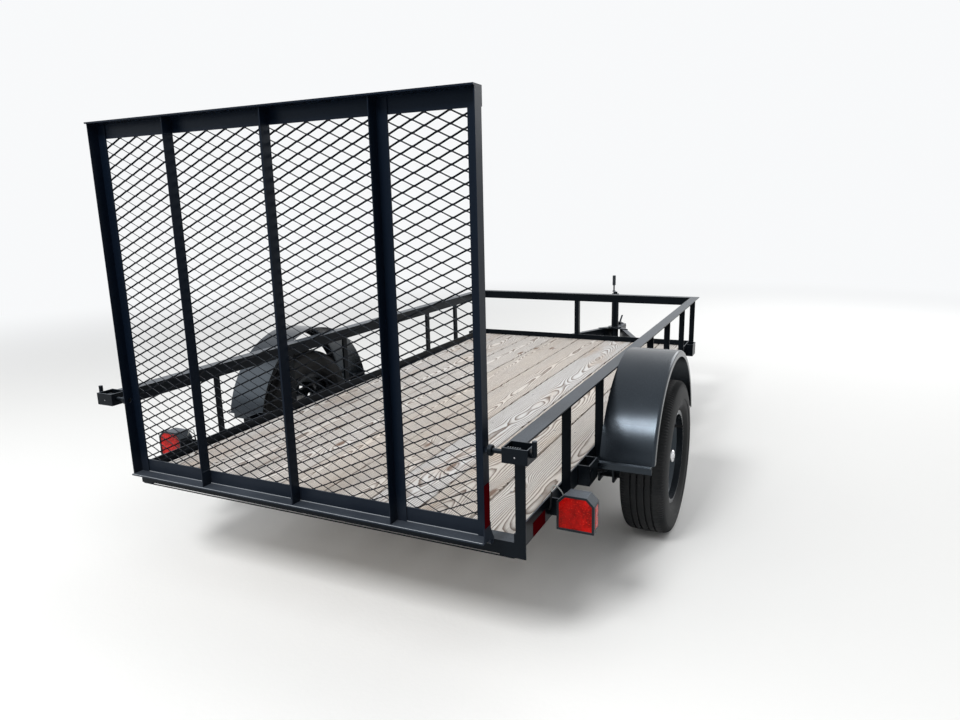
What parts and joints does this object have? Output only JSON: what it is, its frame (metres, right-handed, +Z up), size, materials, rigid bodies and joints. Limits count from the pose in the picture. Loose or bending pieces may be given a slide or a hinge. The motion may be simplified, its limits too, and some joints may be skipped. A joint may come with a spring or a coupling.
{
  "type": "utility trailer",
  "caption": "Open single-axle utility trailer: plank deck in an angle-iron frame with low rails, round fenders, A-frame tongue with screw jack, and a mesh ramp gate standing at the rear",
  "frame": {"origin": "on the ground, in the middle of the trailer's overall length and width", "axes": "+X to the trailer's right-hand side, +Y forward to the coupler, +Z up"},
  "size_m": [2.0688, 4.396, 1.649],
  "materials": {
    "frame_black": "satin",
    "deck_pine": "matte",
    "tyre_rubber": "matte",
    "hub_steel": "gloss",
    "bright_steel": "polished",
    "zinc_steel": "satin",
    "spring_black": "satin",
    "light_black": "matte",
    "lens_red": "gloss"
  },
  "bodies": {
    "chassis": {"side_rail_r": "frame_black", "side_rail_l": "frame_black", "front_header": "frame_black", "rear_sill": "frame_black", "crossmembers": "frame_black", "deck_boards": "deck_pine", "top_rail_r": "frame_black", "top_rail_l": "frame_black", "top_rail_front": "frame_black", "side_posts_r": "frame_black", "side_posts_l": "frame_black", "front_posts": "frame_black", "hinge_tubes": "frame_black", "latch_housings": "frame_black", "latch_pins": "bright_steel", "axle_beam": "frame_black", "leaf_springs": "spring_black", "spring_hangers": "frame_black", "axle_clamps": "spring_black", "fender_r": "frame_black", "fender_l": "frame_black", "fender_brackets": "frame_black", "tail_lights": "light_black", "tail_lenses": "lens_red", "light_brackets": "frame_black", "light_leads": "light_black", "stake_pockets": "frame_black", "tongue_beams": "frame_black", "coupler": "frame_black", "coupler_lever": "frame_black", "jack_tube": "frame_black"},
    "gate": {"gate_long_bars": "frame_black", "gate_side_bars": "frame_black", "gate_stiffeners": "frame_black", "gate_mesh_rising": "frame_black", "gate_mesh_falling": "frame_black", "gate_hinge_pins": "frame_black"},
    "wheel_r": {"tyre_r": "tyre_rubber", "rim_r": "frame_black", "hub_r": "hub_steel", "lug_nuts_r": "bright_steel"},
    "wheel_l": {"tyre_l": "tyre_rubber", "rim_l": "frame_black", "hub_l": "hub_steel", "lug_nuts_l": "bright_steel"},
    "jack_leg": {"jack_leg": "zinc_steel", "jack_foot": "zinc_steel"},
    "jack_crank": {"jack_crank": "frame_black"}
  },
  "joints": [
    {"name": "gate_hinge", "type": "hinge", "parent": "chassis", "child": "gate", "pos_m": [0, -2.1292, 0.416], "axis": [1, 0, 0], "range_deg": [0, 105]},
    {"name": "wheel_r_spin", "type": "hinge", "parent": "chassis", "child": "wheel_r", "pos_m": [0.94, -0.98131, 0.318], "axis": [1, 0, 0], "continuous": true},
    {"name": "wheel_l_spin", "type": "hinge", "parent": "chassis", "child": "wheel_l", "pos_m": [-0.94, -0.98131, 0.318], "axis": [1, 0, 0], "continuous": true},
    {"name": "jack_crank_turn", "type": "hinge", "parent": "chassis", "child": "jack_crank", "pos_m": [0, 1.936, 0.606], "axis": [0, 0, 1], "range_deg": [-8999, 8999]},
    {"name": "jack_leg_slide", "type": "slide", "parent": "chassis", "child": "jack_leg", "axis": [0, 0, 1], "range_m": [-0.15, 0.15]}
  ],
  "couplings": [
    {"joint": "jack_leg_slide", "follows": "jack_crank_turn", "m_per_rad": 0.00095493}
  ]
}
